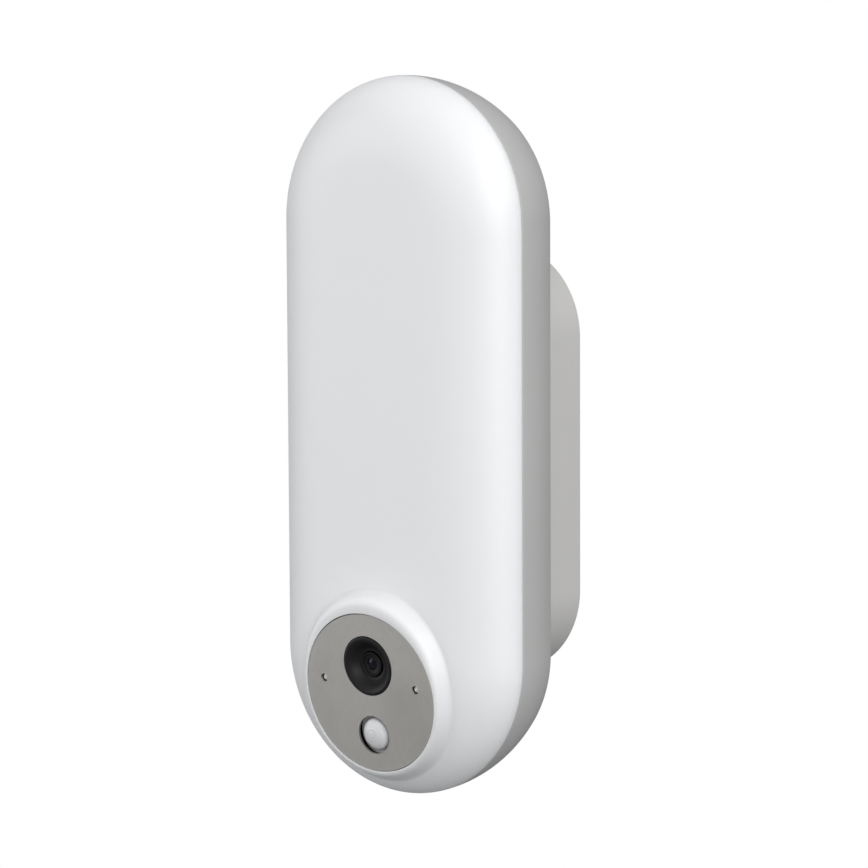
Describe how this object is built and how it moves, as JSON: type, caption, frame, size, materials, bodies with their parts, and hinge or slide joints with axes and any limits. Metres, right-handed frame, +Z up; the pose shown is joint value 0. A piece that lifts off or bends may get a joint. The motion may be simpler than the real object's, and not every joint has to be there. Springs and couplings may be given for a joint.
{
  "type": "floodlight security camera",
  "caption": "Wall-mounted pill-shaped floodlight with an opal front and a tilted steel-faced camera pod with lens, motion sensor and microphones.",
  "frame": {"origin": "centre of the wall plate face that lies against the wall", "axes": "+Z up along the length, +Y into the wall, -Y out of the front, +X to the right seen from the front"},
  "size_m": [0.12, 0.0991, 0.2976],
  "materials": {
    "opal_diffuser": "satin opal",
    "grey_housing": "satin grey paint",
    "brushed_face": "vertical satin brushing",
    "plated_steel": "zinc plated",
    "raw_aluminium": "mill finish",
    "black_plastic": "fine satin black",
    "black_rubber": "matt black",
    "grey_rubber": "matt grey",
    "lens_glass": "coated optical glass",
    "filter_glass": "blue infrared-cut coating",
    "pir_lens_white": "milky moulded lens",
    "green_board": "green solder mask",
    "white_led_board": "white solder mask",
    "white_film": "matt white film",
    "light_plastic": "satin light grey",
    "orange_lever": "moulded orange",
    "copper": "copper foil and winding"
  },
  "bodies": {
    "fixture": {"wall_plate": "plated_steel", "earth_screw": "plated_steel", "cable_grommet": "black_rubber", "wall_seal": "black_rubber", "wall_box": "grey_housing", "box_seal": "black_rubber", "locking_screw": "plated_steel", "box_screw_upper_left": "plated_steel", "box_screw_upper_right": "plated_steel", "box_screw_lower_left": "plated_steel", "box_screw_lower_right": "plated_steel", "led_driver": "light_plastic", "terminal_block": "light_plastic", "body_housing": "grey_housing", "housing_screw_top_left": "plated_steel", "housing_screw_top_right": "plated_steel", "housing_screw_bottom_left": "plated_steel", "housing_screw_bottom_right": "plated_steel", "sd_door_pin": "plated_steel", "sd_board": "green_board", "sd_slot": "plated_steel", "reset_switch": "black_plastic", "speaker_gasket": "black_rubber", "speaker": "black_plastic", "heat_spreader": "raw_aluminium", "led_board": "white_led_board", "reflector_sheet": "white_film", "main_board": "green_board", "wifi_module": "plated_steel", "wifi_antenna": "copper", "supply_lead": "black_plastic", "pod_cup": "black_plastic", "face_plate": "brushed_face", "lens_bezel": "black_plastic", "lens_barrel": "black_plastic", "front_lens": "lens_glass", "rear_lens": "lens_glass", "lens_holder": "black_plastic", "filter_coil": "copper", "image_sensor": "lens_glass", "camera_board": "green_board", "pir_lens": "pir_lens_white", "pir_sensor": "plated_steel", "mic_boot_left": "black_rubber", "mic_left": "raw_aluminium", "mic_boot_right": "black_rubber", "mic_right": "raw_aluminium", "front_diffuser": "opal_diffuser", "diffuser_seal": "grey_rubber", "pod_screw_left": "plated_steel", "pod_screw_right": "plated_steel", "camera_lead": "copper"},
    "reset_button": {"reset_button": "grey_rubber"},
    "sd_door": {"sd_door": "grey_rubber"},
    "sd_card": {"sd_card": "black_plastic"},
    "lever_live": {"lever_live": "orange_lever"},
    "lever_neutral": {"lever_neutral": "orange_lever"},
    "lever_earth": {"lever_earth": "orange_lever"},
    "filter_slider": {"filter_slider": "black_plastic", "ir_cut_glass": "filter_glass"}
  },
  "joints": [
    {"name": "reset_press", "type": "slide", "parent": "fixture", "child": "reset_button", "axis": [0, -1, 0], "range_m": [0, 0.0008], "stiffness_N_per_m": 400},
    {"name": "sd_door_swing", "type": "hinge", "parent": "fixture", "child": "sd_door", "pos_m": [-0.012, -0.0367, -0.1083], "axis": [-1, 0, 0], "range_deg": [0, 100]},
    {"name": "sd_card_push", "type": "slide", "parent": "fixture", "child": "sd_card", "axis": [0, -1, 0], "range_m": [0, 0.0008], "stiffness_N_per_m": 250},
    {"name": "lever_live_lift", "type": "hinge", "parent": "fixture", "child": "lever_live", "pos_m": [-0.0094, -0.0239, -0.0206], "axis": [1, 0, 0], "range_deg": [0, 90]},
    {"name": "lever_neutral_lift", "type": "hinge", "parent": "fixture", "child": "lever_neutral", "pos_m": [0, -0.0239, -0.0206], "axis": [1, 0, 0], "range_deg": [0, 90]},
    {"name": "lever_earth_lift", "type": "hinge", "parent": "fixture", "child": "lever_earth", "pos_m": [0.0094, -0.0239, -0.0206], "axis": [1, 0, 0], "range_deg": [0, 90]},
    {"name": "ir_filter_shift", "type": "slide", "parent": "fixture", "child": "filter_slider", "axis": [1, 0, 0], "range_m": [0, 0.0066]}
  ]
}
